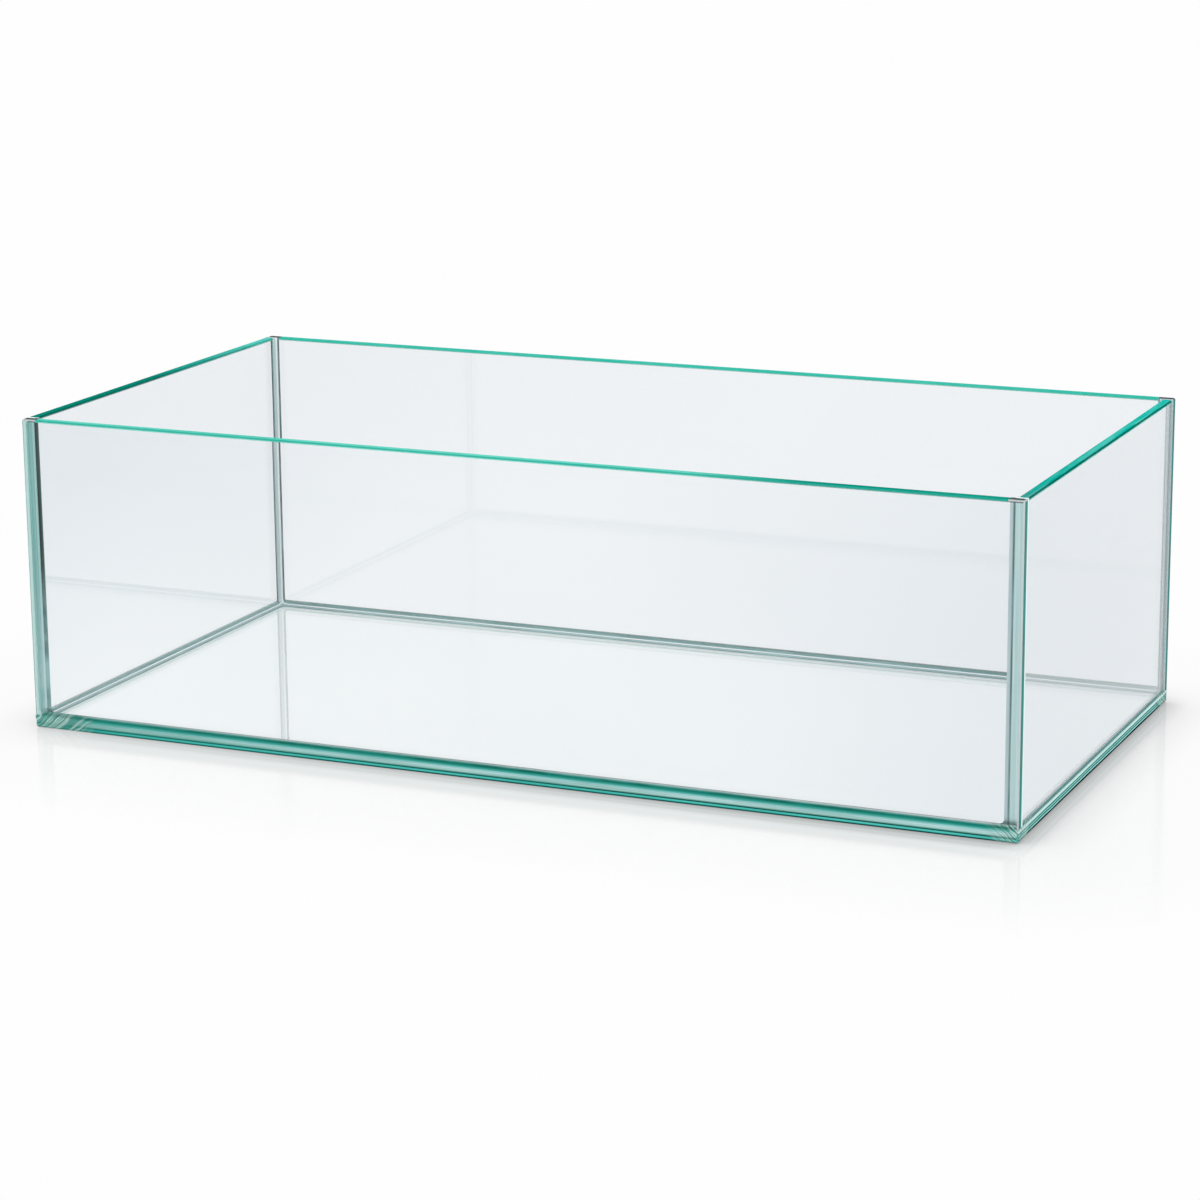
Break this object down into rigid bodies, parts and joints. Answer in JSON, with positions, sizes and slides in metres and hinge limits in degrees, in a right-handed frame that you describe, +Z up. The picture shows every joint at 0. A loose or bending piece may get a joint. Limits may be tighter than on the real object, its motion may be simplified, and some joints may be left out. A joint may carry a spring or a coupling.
{
  "type": "rimless glass aquarium",
  "caption": "Shallow open-topped rimless aquarium of green-edged float glass panes, bonded edge to edge and sealed inside with clear silicone.",
  "frame": {"origin": "middle of the underside of the base pane, on the surface that the tank stands on", "axes": "+X along the length to the right as seen from the front, +Y from the front pane to the back pane, +Z up"},
  "size_m": [0.6, 0.3, 0.184],
  "materials": {
    "float_glass": "clear float glass with green polished edges",
    "clear_silicone": "clear cured silicone, smooth and tooled"
  },
  "bodies": {
    "root": {"base_pane": "float_glass", "front_pane": "float_glass", "back_pane": "float_glass", "left_pane": "float_glass", "right_pane": "float_glass", "front_base_bond": "clear_silicone", "back_base_bond": "clear_silicone", "left_base_bond": "clear_silicone", "right_base_bond": "clear_silicone", "front_left_corner_bond": "clear_silicone", "front_right_corner_bond": "clear_silicone", "back_left_corner_bond": "clear_silicone", "back_right_corner_bond": "clear_silicone", "front_base_seal": "clear_silicone", "back_base_seal": "clear_silicone", "left_base_seal": "clear_silicone", "right_base_seal": "clear_silicone", "front_left_corner_seal": "clear_silicone", "front_right_corner_seal": "clear_silicone", "back_left_corner_seal": "clear_silicone", "back_right_corner_seal": "clear_silicone"}
  },
  "joints": []
}
